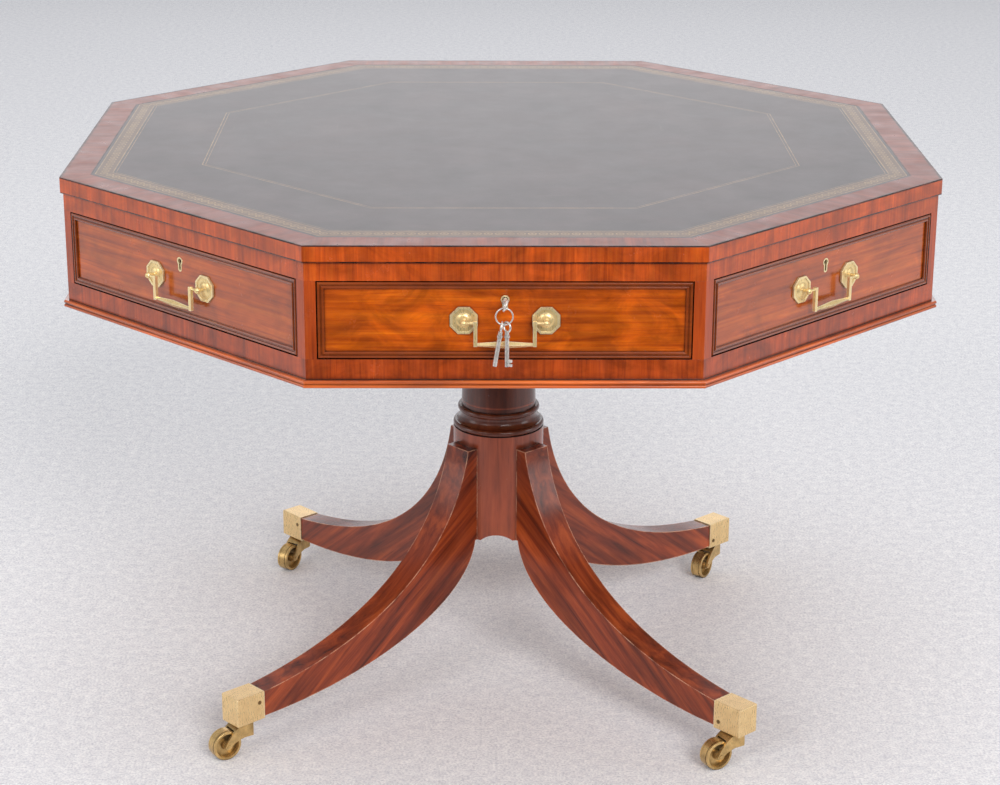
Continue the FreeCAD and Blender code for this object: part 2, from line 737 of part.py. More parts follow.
def lock_bolt():
    """Bolt plate with a slot that clears the drill pin over its throw."""
    plate = box(
        "bolt_plate",
        ("-dim.bolt_half_width", "dim.bolt_half_width"),
        (BOLT_Y, f"{BOLT_Y} + dim.bolt_thickness"),
        (f"{BOLT_TOP} - dim.bolt_height", BOLT_TOP),
    )
    clear = "(dim.lock_pin_radius + dim.bolt_slack)"
    slot = box(
        "bolt_pin_slot",
        (f"-{clear}", clear),
        (BOLT_Y, f"{BOLT_Y} + dim.bolt_thickness"),
        (f"{KEY_Z} - dim.bolt_throw - {clear}", f"{KEY_Z} + {clear}"),
    )
    return cut("lock_bolt", plate, slot)


def make_fronts():
    """Drawer fronts with their brasses and bails, and the four sham fronts between them."""
    board = front_board()
    beads = bead_frame()
    lock_recess = box(
        "lock_recess",
        ("-dim.lock_half_width", "dim.lock_half_width"),
        (LOCK_Y, f"-{PANEL_BACK}"),
        (f"{FRONT_TOP} - dim.lock_height", FRONT_TOP),
    )
    locked_board = cut("front_locked", board, lock_recess)
    fittings = handle_fittings()
    rim = escutcheon()
    case = lock_case()
    bolt = lock_bolt()
    handle = bail()
    for side, angle in DRAWERS.items():
        spare_bolt = [] if side == "front" else [bolt]
        node(f"drawer_front_{side}", [locked_board, *beads], turn=str(angle))
        node(f"drawer_brasses_{side}", [*fittings, rim, case, *spare_bolt], turn=str(angle))
        node(f"bail_{side}", [handle], turn=str(angle))
    backing = box(
        "backing",
        (f"-{OPEN_HALF}", OPEN_HALF),
        (f"-{PANEL_BACK}", f"-{PANEL_BACK} + dim.backing_thickness"),
        (OPEN_LOW, OPEN_TOP),
    )
    nut_holes = [
        rod("nut_hole", "dim.nut_radius", "dim.backing_thickness", "y", (side, f"-{PANEL_BACK}", HANDLE_Z))
        for side in ("dim.handle_half_span", "-dim.handle_half_span")
    ]
    sham_back = cut("sham_back", backing, *nut_holes)
    shams = []
    brasses = []
    for side, angle in SHAMS.items():
        shams += [copy(piece, turn=str(angle)) for piece in (board, sham_back)]
        shams += [turned_group("sham_beads", beads, angle)]
        brasses += [turned_group("sham_brass", [*fittings, rim], angle)]
        node(f"bail_{side}", [handle], turn=str(angle))
    node("dummy_fronts", shams)
    node("dummy_brasses", brasses)
    node("front_lock_bolt", [bolt])


def turned_group(name, members, angle):
    """Several placed pieces, turned together about the table's axis."""
    group = doc.addObject("Part::Compound", name)
    group.Links = members
    return place(group, turn=str(angle))


def make_drawer_boxes():
    """Sides, back and bottom of the drawers, with the runners and guides they slide on."""
    thick = "dim.drawer_side_thickness"
    inner = f"({FRONT_HALF} - {thick})"
    bottom = f"({OPEN_LOW} + dim.drawer_bottom_rise)"
    top = f"({OPEN_LOW} + dim.drawer_side_height)"
    depth = (f"-{PANEL_BACK}", f"-{DRAWER_END}")
    left = box("side_left", (f"-{FRONT_HALF}", f"-{inner}"), depth, (OPEN_LOW, top))
    right = box("side_right", (inner, FRONT_HALF), depth, (OPEN_LOW, top))
    board_top = f"({bottom} + dim.drawer_bottom_thickness)"
    board = box("bottom", (f"-{inner}", inner), depth, (bottom, board_top))
    back = box("back", (f"-{inner}", inner), (f"-{DRAWER_END} - {thick}", f"-{DRAWER_END}"), (board_top, top))
    for side, angle in DRAWERS.items():
        node(f"drawer_box_{side}", [left, right, back, board], turn=str(angle))
    run = (f"-{RUN_START}", f"-{DRAWER_END}")
    runners = []
    guides = []
    for sign in ("1", "-1"):
        middle = f"({sign} * ({OPEN_HALF} + (dim.guide_width - dim.runner_inside) / 2))"
        half = "(dim.guide_width + dim.runner_inside) / 2"
        across = (f"{middle} - {half}", f"{middle} + {half}")
        runners.append(box("runner", across, run, (BOARD_TOP, OPEN_LOW)))
        middle = f"({sign} * ({OPEN_HALF} + dim.guide_width / 2))"
        half = "dim.guide_width / 2"
        across = (f"{middle} - {half}", f"{middle} + {half}")
        guides.append(box("guide", across, run, (OPEN_LOW, f"{OPEN_LOW} + dim.guide_height")))
    node("drawer_runners", [turned_group("runner_pair", runners, angle) for angle in DRAWERS.values()])
    node("drawer_guides", [turned_group("guide_pair", guides, angle) for angle in DRAWERS.values()])


def make_keys():
    """Key in the front lock, and the ring that hangs from it with two spare keys."""
    along = FreeCAD.Rotation(FreeCAD.Vector(0, 1, 0), 90 + num("dim.key_bow_tilt"))
    bow = hoop("key_bow", "dim.key_bow_radius", "dim.key_bow_wire", along, ("0", BOW_Y, KEY_Z))
    tip = f"({BOLT_Y} - dim.bolt_slack)"
    shank_end = f"({BOW_Y} + dim.key_bow_radius)"
    shank = rod("key_shank", "dim.key_shank_radius", f"{tip} - {shank_end}", "y", ("0", shank_end, KEY_Z))
    collar_y = f"(-{PANEL} - dim.key_reach / 2)"
    collar_radius = "dim.key_shank_radius + dim.key_collar_rim"
    collar = rod("key_collar", collar_radius, "dim.key_collar_length", "y", ("0", collar_y, KEY_Z))
    bit = box(
        "key_bit",
        ("-dim.key_bit_half", "dim.key_bit_half"),
        (f"{LOCK_Y} + dim.lock_wall + dim.bolt_slack", tip),
        (f"{KEY_Z} - dim.key_bit_length", f"{KEY_Z} - dim.key_shank_radius / 2"),
    )
    pipe = rod(
        "key_pipe",
        "dim.lock_pin_radius + dim.running_gap",
        f"{tip} - {LOCK_Y} + dim.key_pipe_overrun",
        "y",
        ("0", f"{LOCK_Y} - dim.key_pipe_overrun", KEY_Z),
    )
    node("key", [cut("key_drilled", fuse("key_solid", bow, shank, collar, bit), pipe)])
    facing = FreeCAD.Rotation(FreeCAD.Vector(1, 0, 0), 90)
    ring = hoop("split_ring", "dim.ring_radius", "dim.ring_wire", facing, (RING_X, BOW_Y, RING_Z))
    pipe_key = spare_key("pipe_key", False)
    bit_key = spare_key("bit_key", True)
    seat = "(dim.spare_bow_radius - dim.spare_bow_wire - dim.ring_wire - dim.ring_seat_gap)"
    drop = f"({RING_Z} - sqrt(dim.ring_radius ^ 2 - dim.spare_spread ^ 2) - {seat})"
    left = copy(pipe_key, (f"{RING_X} - dim.spare_spread", BOW_Y, drop))
    tilt = FreeCAD.Rotation(FreeCAD.Vector(0, 1, 0), num("dim.spare_tilt"))
    left.setExpression("Placement.Rotation.Angle", None)
    left.Placement.Rotation = tilt
    right = copy(bit_key, (f"{RING_X} + dim.spare_spread", BOW_Y, drop), "dim.spare_turn")
    node("key_ring", [ring, left, right])


def spare_key(name, with_bit):
    """Loose key that hangs by its bow, with the bow's middle at the origin."""
    upright = FreeCAD.Rotation(FreeCAD.Vector(0, 1, 0), 90)
    bow = hoop(name + "_bow", "dim.spare_bow_radius", "dim.spare_bow_wire", upright, ORIGIN)
    end = "(-dim.spare_bow_radius - dim.spare_length)"
    shank = rod(name + "_shank", "dim.spare_shank_radius", "dim.spare_length", "z", ("0", "0", end))
    collar_z = "(-dim.spare_bow_radius - dim.spare_collar_drop)"
    collar_radius = "dim.spare_shank_radius + dim.spare_collar_rim"
    collar = rod(name + "_collar", collar_radius, "dim.spare_collar_length", "z", ("0", "0", collar_z))
    members = [bow, shank, collar]
    if with_bit:
        half = ("-dim.key_bit_half", "dim.key_bit_half")
        bit_end = "(-dim.spare_shank_radius - dim.spare_bit_reach)"
        bit_low = f"({end} + dim.spare_bit_inset)"
        bit = box(name + "_bit", half, (bit_end, "0"), (bit_low, f"{bit_low} + dim.spare_bit_height"))
        notch_low = f"({bit_low} + dim.spare_notch_inset)"
        notch_depth = (bit_end, f"{bit_end} + dim.spare_notch_depth")
        notch = box(name + "_notch", half, notch_depth, (notch_low, f"{notch_low} + dim.spare_notch_height"))
        members.append(cut(name + "_ward", bit, notch))
    return fuse(name, *members)


def swell_radius(chord, rise):
    """Radius of the arc that stands out by a rise over a chord."""
    return f"(({chord}) ^ 2 / 4 + {rise} ^ 2) / (2 * {rise})"


def pillar_profile():
    """Half section of the pillar, from the floor of the vault to the bearing block."""
    lower_top = "(dim.pillar_body_top + dim.lower_ring_height)"
    upper_low = f"({lower_top} + dim.cove_height)"
    shaft_low = f"({upper_low} + dim.upper_ring_height)"
    collar_low = f"({BLOCK_LOW} - dim.collar_height)"
    lower_seat = "(dim.pillar_radius - dim.ring_quirk)"
    upper_seat = "(dim.upper_ring_radius - dim.ring_swell)"
    cove_start = "(dim.pillar_radius - dim.lower_ring_depth)"
    cove_chord = f"sqrt(dim.cove_height ^ 2 + ({cove_start} - dim.neck_radius) ^ 2)"
    cove_curve = swell_radius(cove_chord, "dim.cove_hollow")
    return [
        ("0", "dim.pillar_low"),
        ("dim.pillar_radius", "dim.pillar_low"),
        ("dim.pillar_radius", "dim.pillar_body_top"),
        (lower_seat, "dim.pillar_body_top", swell_radius("dim.lower_ring_height", "dim.ring_swell")),
        (lower_seat, lower_top),
        (cove_start, lower_top, f"-{cove_curve}"),
        ("dim.neck_radius", upper_low),
        (upper_seat, upper_low, swell_radius("dim.upper_ring_height", "dim.ring_swell")),
        (upper_seat, shaft_low),
        ("dim.shaft_radius", shaft_low),
        ("dim.shaft_top_radius", collar_low, "-dim.collar_curve"),
        ("dim.collar_radius", BLOCK_LOW),
        ("0", BLOCK_LOW),
    ]


def dovetail(name):
    """Tongue of a leg, along +X, wider at its inner end."""
    root = "(dim.pillar_radius - dim.dovetail_depth)"
    points = [
        (root, "-dim.dovetail_tail_half"),
        ("dim.pillar_radius + dim.dovetail_overlap", "-dim.dovetail_neck_half"),
        ("dim.pillar_radius + dim.dovetail_overlap", "dim.dovetail_neck_half"),
        (root, "dim.dovetail_tail_half"),
    ]
    height = "dim.leg_top - dim.dovetail_shoulder - dim.pillar_low"
    return pad(name, "XY_Plane", points, height, "dim.pillar_low")


def leg_angle(quarter):
    """Direction of one leg, as an expression."""
    return f"dim.pedestal_turn + {quarter}"


def make_pillar():
    """Turned pillar with its dovetail sockets, vaulted foot, iron spider and screws."""
    turned = revolve("pillar_turned", "XZ_Plane", pillar_profile())
    bore_low = f"({BLOCK_LOW} - dim.pivot_depth)"
    bore = rod("pillar_bore", "dim.pivot_radius", "dim.pivot_depth", "z", ("0", "0", bore_low))
    tongue = dovetail("socket_tongue")
    sockets = [copy(tongue, turn=leg_angle(quarter)) for quarter in LEGS.values()]
    curve = "((dim.vault_half ^ 2 + dim.vault_rise ^ 2) / (2 * dim.vault_rise))"
    reach = "(dim.pillar_radius + dim.vault_overrun)"
    vault_start = (f"-{reach}", "0", f"dim.pillar_low + dim.vault_rise - {curve}")
    vault = rod("vault", curve, f"2 * {reach}", "x", vault_start)
    vaults = [turned_link(vault, quarter) for quarter in (0, 90)]
    node("pillar", [cut("pillar_shaped", turned, bore, *sockets, *vaults)])
    arm = box(
        "spider_arm",
        ("-dim.spider_end", "dim.spider_end"),
        ("-dim.spider_half_width", "dim.spider_half_width"),
        ("dim.pillar_low - dim.spider_thickness", "dim.pillar_low"),
    )
    cross = fuse("spider_cross", *[turned_link(arm, quarter) for quarter in (45, 135)])
    holes = [turned_link(spider_screw_hole(), quarter) for quarter in LEGS.values()]
    node("spider_plate", [cut("spider", cross, *holes)])
    head_low = "(dim.pillar_low - dim.spider_thickness - dim.spider_screw_cap)"
    head_start = ("dim.spider_screw_place", "0", head_low)
    head = rod("screw_head", "dim.spider_screw_head", "dim.spider_screw_cap", "z", head_start)
    screw = fuse("spider_screw", head, spider_screw_hole())
    node("spider_screws", [copy(screw, turn=leg_angle(quarter)) for quarter in LEGS.values()])


def spider_screw_hole():
    """Shank of a screw through the spider into a leg's tongue."""
    low = "(dim.pillar_low - dim.spider_thickness)"
    return rod(
        "screw_shank",
        "dim.spider_screw_radius",
        "dim.spider_thickness + dim.spider_screw_depth",
        "z",
        ("dim.spider_screw_place", "0", low),
    )


def turned_link(source, quarter):
    """Copy of a pedestal piece, turned with the pedestal."""
    holder = doc.addObject("Part::Compound", source.Name + "_turned")
    holder.Links = [source]
    return place(holder, turn=leg_angle(quarter))


def leg_blank():
    """Sabre outline sawn from a plank: two curves that fall steeply and run out level."""
    fall = num("dim.leg_fall_angle")
    run = num("dim.leg_run_angle")
    mouth = num("dim.cup_mouth")
    inside = num("dim.pillar_radius") / 2
    top = FreeCAD.Vector(num("dim.leg_top_radius"), 0, num("dim.leg_top"))
    low = FreeCAD.Vector(num("dim.pillar_radius"), 0, num("dim.pillar_low"))
    foot_top = FreeCAD.Vector(mouth, 0, num(FOOT_TOP))
    foot_low = FreeCAD.Vector(mouth, 0, num(FOOT_LOW))
    inner_top = FreeCAD.Vector(inside, 0, top.z)
    inner_low = FreeCAD.Vector(inside, 0, low.z)
    falling = FreeCAD.Rotation(FreeCAD.Vector(0, 1, 0), fall).multVec(FreeCAD.Vector(1, 0, 0))
    level = FreeCAD.Rotation(FreeCAD.Vector(0, 1, 0), run).multVec(FreeCAD.Vector(1, 0, 0))
    upper = Part.BezierCurve()
    upper.setPoles([
        top,
        top + falling * num("dim.leg_upper_fall"),
        foot_top - level * num("dim.leg_upper_run"),
        foot_top,
    ])
    lower = Part.BezierCurve()
    lower.setPoles([
        foot_low,
        foot_low - FreeCAD.Vector(num("dim.leg_lower_run"), 0, 0),
        low + falling * num("dim.leg_lower_fall"),
        low,
    ])
    wire = Part.Wire([
        Part.LineSegment(inner_top, top).toShape(),
        upper.toShape(),
        Part.LineSegment(foot_top, foot_low).toShape(),
        lower.toShape(),
        Part.LineSegment(low, inner_low).toShape(),
        Part.LineSegment(inner_low, inner_top).toShape(),
    ])
    width = num("dim.leg_width")
    blank = doc.addObject("Part::Feature", "leg_blank")
    blank.Shape = Part.Face(wire).extrude(FreeCAD.Vector(0, width, 0))
    blank.Placement.Base = FreeCAD.Vector(0, -width / 2, 0)
    return blank


def leg():
    """Leg along +X: tapered in plan, shouldered on the pillar, with a tongue at each end."""
    half = "dim.leg_width / 2"
    plan = pad("leg_plan", "XY_Plane", [
        ("0", f"-{half}"),
        ("dim.leg_top_radius", f"-{half}"),
        ("dim.cup_mouth", f"-{FOOT_HALF}"),
        ("dim.cup_mouth", FOOT_HALF),
        ("dim.leg_top_radius", half),
        ("0", half),
    ], "dim.leg_top")
    tapered = common("leg_tapered", leg_blank(), plan)
    bed = rod("leg_bed", "dim.pillar_radius", "dim.leg_top", "z", ORIGIN)
    foot = box("leg_foot", ("dim.cup_mouth", FOOT_END), (f"-{FOOT_HALF}", FOOT_HALF), (FOOT_LOW, FOOT_TOP))
    joined = fuse("leg_joined", cut("leg_shouldered", tapered, bed), dovetail("leg_tongue"), foot)
    return cut("leg", joined, spider_screw_hole(), *cup_screw_holes())


def cup_screw_sides():
    """Height and side of the two screws of a cup."""
    return (("dim.cup_screw_high", "1"), ("dim.cup_screw_low", "-1"))


def cup_screw_holes():
    """Shanks of the two screws that hold a cup on its leg."""
    holes = []
    for height, side in cup_screw_sides():
        start = f"{side} * (dim.cup_width / 2 - dim.cup_screw_depth / 2) - dim.cup_screw_depth / 2"
        at = ("dim.cup_mouth + dim.cup_screw_inset", start, f"dim.cup_low + {height}")
        holes.append(rod("cup_screw_shank", "dim.cup_screw_radius", "dim.cup_screw_depth", "y", at))
    return holes


def castor_cup():
    """Brass box on the end of a leg, open towards the leg."""
    shell = pad("cup_blank", "XZ_Plane", [
        ("dim.cup_mouth", "dim.cup_low"),
        (CUP_END, "dim.cup_low"),
        (CUP_END, "dim.cup_low + dim.cup_height"),
        ("dim.cup_mouth", "dim.cup_low + dim.cup_height"),
    ], "dim.cup_width", "-dim.cup_width / 2")
    behind_mouth = num("dim.cup_mouth + dim.cup_edge")
    round_edges(shell, "dim.cup_edge", lambda edge: edge.CenterOfMass.x > behind_mouth)
    across = (f"-{FOOT_HALF}", FOOT_HALF)
    hollow = box("cup_hollow", ("dim.cup_mouth", FOOT_END), across, (FOOT_LOW, FOOT_TOP))
    hole = rod("cup_hole", "dim.swivel_radius", "dim.cup_floor", "z", (SWIVEL, "0", "dim.cup_low"))
    return cut("cup", shell, hollow, hole, *cup_screw_holes())


def make_legs():
    """Four legs with their castor cups, screws and swivel pins."""
    sabre = leg()
    cup = castor_cup()
    screws = []
    for (height, side), shank in zip(cup_screw_sides(), cup_screw_holes()):
        start = f"{side} * (dim.cup_width / 2 + dim.cup_screw_cap / 2) - dim.cup_screw_cap / 2"
        at = ("dim.cup_mouth + dim.cup_screw_inset", start, f"dim.cup_low + {height}")
        head = rod("cup_screw_cap", "dim.cup_screw_head", "dim.cup_screw_cap", "y", at)
        screws.append(fuse("cup_screw", head, shank))
    rivet_low = f"({CROWN_LOW} - dim.swivel_head_height)"
    rivet = rod("swivel_rivet", "dim.swivel_head", "dim.swivel_head_height", "z", (SWIVEL, "0", rivet_low))
    crown = (SWIVEL, "0", CROWN_LOW)
    shank = rod("swivel_shank", "dim.swivel_radius", f"{FOOT_LOW} - {CROWN_LOW}", "z", crown)
    pin = fuse("swivel_pin", rivet, shank)
    for corner, quarter in LEGS.items():
        node(f"leg_{corner}", [sabre], turn=leg_angle(quarter))
    node("castor_cups", [copy(cup, turn=leg_angle(quarter)) for quarter in LEGS.values()])
    node("castor_cup_screws", [copy(s, turn=leg_angle(q)) for q in LEGS.values() for s in screws])
    node("castor_swivel_pins", [copy(pin, turn=leg_angle(quarter)) for quarter in LEGS.values()])


def fork():
    """Horn of a castor, trailing along +X from its swivel, with two cheeks round the wheel."""
    trail = "dim.castor_trail"
    axle_z = "dim.wheel_radius"
    crown = "dim.fork_crown_half"
    boss = "dim.fork_boss"
    horn = pad("fork_horn", "XZ_Plane", [
        (f"-{crown}", CROWN_LOW),
        ("dim.fork_throat", CROWN_LOW, "-dim.fork_inner_curve"),
        (f"{trail} - {boss}", axle_z, "dim.fork_boss_curve"),
        (f"{trail} + {boss}", axle_z, "dim.fork_outer_curve"),
        (crown, "dim.cup_low"),
        (f"-{crown}", "dim.cup_low"),
    ], f"2 * {FORK_HALF}", f"-{FORK_HALF}")
    half = "(dim.wheel_half_width + dim.fork_side_gap)"
    room_radius = "dim.wheel_radius + dim.fork_tread_gap"
    room = rod("wheel_room", room_radius, f"2 * {half}", "y", (trail, f"-{half}", axle_z))
    eye = rod("axle_eye", "dim.axle_radius", f"2 * {FORK_HALF}", "y", (trail, f"-{FORK_HALF}", axle_z))
    neck_radius = "dim.swivel_radius + dim.running_gap"
    neck = rod("swivel_eye", neck_radius, "dim.fork_crown_height", "z", ("0", "0", CROWN_LOW))
    return cut("fork", horn, room, eye, neck)


def wheel():
    """Brass wheel with a banded tread and a dished web, its axis along Y."""
    half = "dim.wheel_half_width"
    tread = "dim.wheel_tread_half"
    groove = "(dim.wheel_radius - dim.wheel_groove)"
    rib = "(dim.wheel_radius - dim.wheel_groove / 3)"
    inside = "(dim.wheel_radius - dim.wheel_rim)"
    hub = "dim.wheel_hub_radius"
    web = "dim.wheel_web_half"
    bore = "dim.axle_radius + dim.running_gap"
    upper = [
        ("dim.wheel_radius", tread),
        (groove, tread),
        (groove, f"{tread} + dim.wheel_groove_width"),
        (rib, f"{tread} + dim.wheel_groove_width"),
        (rib, f"{half} - dim.wheel_rim_ease"),
        (f"{rib} - 2 * dim.wheel_rim_ease", half),
        (inside, half),
        (f"{inside} - dim.wheel_web_slope", web),
        (f"{hub} + dim.wheel_web_slope", web),
        (hub, half),
        (bore, half),
    ]
    lower = [(radius, f"-({place_along})") for radius, place_along in reversed(upper)]
    turned = revolve("wheel", "XY_Plane", upper + lower)
    return place(turned, ("dim.castor_trail", "0", "dim.wheel_radius"))


def make_castors():
    """Forks, wheels and axles, each castor turned to its own trail."""
    horn = fork()
    disc = wheel()
    length = f"2 * ({FORK_HALF} + dim.axle_end)"
    start = f"-{FORK_HALF} - dim.axle_end"
    axle = rod("axle", "dim.axle_radius", length, "y", ("dim.castor_trail", start, "dim.wheel_radius"))
    for corner, quarter in LEGS.items():
        angle = f"({leg_angle(quarter)})"
        at = (f"{SWIVEL} * cos({angle})", f"{SWIVEL} * sin({angle})", "0")
        trail = f"dim.trail_{corner}"
        node(f"castor_fork_{corner}", [horn], at, trail)
        node(f"castor_wheel_{corner}", [disc], at, trail)
        node(f"castor_axle_{corner}", [axle], at, trail)


def make_bearing():
    """Block on the pillar, and the pivot that the drum turns on."""
    edge = "dim.block_edge"
    block = revolve("block_turned", "XZ_Plane", [
        ("dim.pivot_radius", BLOCK_LOW),
        (f"dim.block_radius - {edge}", BLOCK_LOW, "dim.block_edge_curve"),
        ("dim.block_radius", f"{BLOCK_LOW} + {edge}"),
        ("dim.block_radius", BASE_TOP),
        ("dim.pivot_radius", BASE_TOP),
    ])
    node("bearing_block", [block])
    pin_low = f"({BLOCK_LOW} - dim.pivot_depth)"
    pin = rod("pivot_rod", "dim.pivot_radius", f"{PIVOT_TOP} - {pin_low}", "z", ("0", "0", pin_low))
    washer = ringed("pivot_washer", "dim.pivot_washer_radius", "dim.pivot_washer_thickness", PLATE_TOP)
    flat = "dim.pivot_nut_flats / 2"
    hexagon = [(f"{flat} / cos(30) * cos({a})", f"{flat} / cos(30) * sin({a})") for a in range(0, 360, 60)]
    nut_blank = pad("pivot_nut_blank", "XY_Plane", hexagon, "dim.pivot_nut_height", NUT_LOW)
    nut_bore = rod("pivot_nut_bore", "dim.pivot_radius", "dim.pivot_nut_height", "z", ("0", "0", NUT_LOW))
    node("pivot_pin", [pin, washer, cut("pivot_nut", nut_blank, nut_bore)])
    plate_thickness = "dim.pivot_plate_thickness"
    plate = rod("pivot_disc", "dim.pivot_plate_radius", plate_thickness, "z", ("0", "0", BOARD_TOP))
    hole = rod(
        "pivot_eye",
        "dim.pivot_radius + dim.running_gap",
        "dim.pivot_plate_thickness",
        "z",
        ("0", "0", BOARD_TOP),
    )
    node("pivot_plate", [cut("pivot_bearing", plate, hole)])


def ringed(name, radius, thickness, low):
    """Flat ring on the pivot."""
    disc = rod(name + "_disc", radius, thickness, "z", ("0", "0", low))
    bore = rod(name + "_bore", "dim.pivot_radius", thickness, "z", ("0", "0", low))
    return cut(name, disc, bore)


def check_document():
    """Stop if any object failed to build or any sub-part isn't a valid shape."""
    for obj in doc.Objects:
        if "Invalid" in obj.State or "Error" in obj.State:
            raise RuntimeError(f"{obj.Name} did not build: {obj.State}")
    for obj in nodes:
        if obj.Shape.isNull() or not obj.Shape.isValid() or not obj.Shape.Solids:
            raise RuntimeError(f"{obj.Label} has no valid solid")


def write_parts():
    """Write each sub-part to its own file."""
    os.makedirs("parts", exist_ok=True)
    for obj in nodes:
        obj.Shape.exportStep(f"parts/{obj.Label}.step")
    print(len(nodes), "sub-parts,", sum(len(obj.Shape.Solids) for obj in nodes), "solids")


fill_sheet()
make_top()
make_frieze()
make_fronts()
make_drawer_boxes()
make_keys()
make_pillar()
make_legs()
make_castors()
make_bearing()
doc.recompute()
check_document()
write_parts()
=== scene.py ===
import math

import bpy
from mathutils import Matrix, Vector


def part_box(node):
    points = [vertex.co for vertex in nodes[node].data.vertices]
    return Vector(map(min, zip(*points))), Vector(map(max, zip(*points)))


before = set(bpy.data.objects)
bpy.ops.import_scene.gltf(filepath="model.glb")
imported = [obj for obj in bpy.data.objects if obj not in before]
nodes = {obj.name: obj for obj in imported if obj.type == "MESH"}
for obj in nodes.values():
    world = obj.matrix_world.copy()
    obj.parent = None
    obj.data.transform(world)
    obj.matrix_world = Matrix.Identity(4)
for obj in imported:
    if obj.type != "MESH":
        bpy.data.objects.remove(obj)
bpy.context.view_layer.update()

# Camera at the photograph's viewing angle, in metres, degrees and pixels of the photograph
CAMERA_PLACE = Vector((-0.0386, -3.1038, 1.4465))
CAMERA_YAW = 0.746
CAMERA_PITCH = 18.706
CAMERA_ROLL = -0.274
PHOTO_WIDTH = 1000
FOCAL_PIXELS = 2366.6
SENSOR_WIDTH = 36

# Step and first angle of the sides that the grain follows: the drum's, and the legs of the turned pedestal
PEDESTAL_TURN = 2.75
DRUM_SIDES = (45, 0)
PEDESTAL_LEGS = (90, 45 - PEDESTAL_TURN)
LEG_GRAIN_SLOPE = -37
SIDE_SHIFT = 1.37

# Places on the drum, by distance from its middle in metres
TOP_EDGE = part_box("top_crossbanding")[1].x
LEATHER_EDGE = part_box("writing_leather")[1].x
BEAD_DEPTH = 0.0028
BEAD_START = -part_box("drawer_front_front")[0].y - BEAD_DEPTH

# Tooling of the leather in metres: a band of rosettes between lines, and a pair of lines further in
BAND_OUTER = LEATHER_EDGE - 0.004
BAND_INNER = LEATHER_EDGE - 0.025
INNER_LINE = 0.380
PAIRED_LINE_GAP = 0.004
THIN_LINE = 0.0004
BAND_LINE = 0.0007
FIELD_LINE = 0.0006
TOOL_PITCH = 0.0125
ROSETTE_RADIUS = 0.0044
ROSETTE_LINE = 0.0008
EYE_RADIUS = 0.0016

# Heights in metres of the frieze's joints and of the pillar's turned rings
FRIEZE_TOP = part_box("frieze_top_rail")[1].z
FRIEZE_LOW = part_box("frieze_bottom_rail")[0].z
UPPER_JOINT_HALF = 0.0014
LOWER_JOINT_HALF = 0.0010
RINGS_LOW = 0.3505
RINGS_TOP = 0.3875

# Radii of edges in metres: eased ones, pale ones of wear and painted highlight, and the border's rounded
# arris
EASED_RADIUS = 0.0006
EASED_BRASS = 0.0003
EDGE_WEAR_AND_HIGHLIGHT_RADIUS = 0.0026
ROUNDED_ARRIS = 0.0022

# In front of the table the photograph's room is darker, which only its reflections show
FLOOR_HALF = 14.0
PALE_FLOOR_END = -0.8
DIM_FLOOR_START = -1.5

# Beam angle of every softbox in degrees, and the even light of the room
SOFTBOX_SPREAD = 110
ROOM_TINT = (0.96, 0.97, 1.0, 1.0)
ROOM_STRENGTH = 0.5


def srgb(red, green, blue):
    """Linear colour of a screen colour given from 0 to 255."""
    def linear(value):
        share = value / 255
        return share / 12.92 if share <= 0.04045 else ((share + 0.055) / 1.055) ** 2.4
    return (linear(red), linear(green), linear(blue), 1.0)


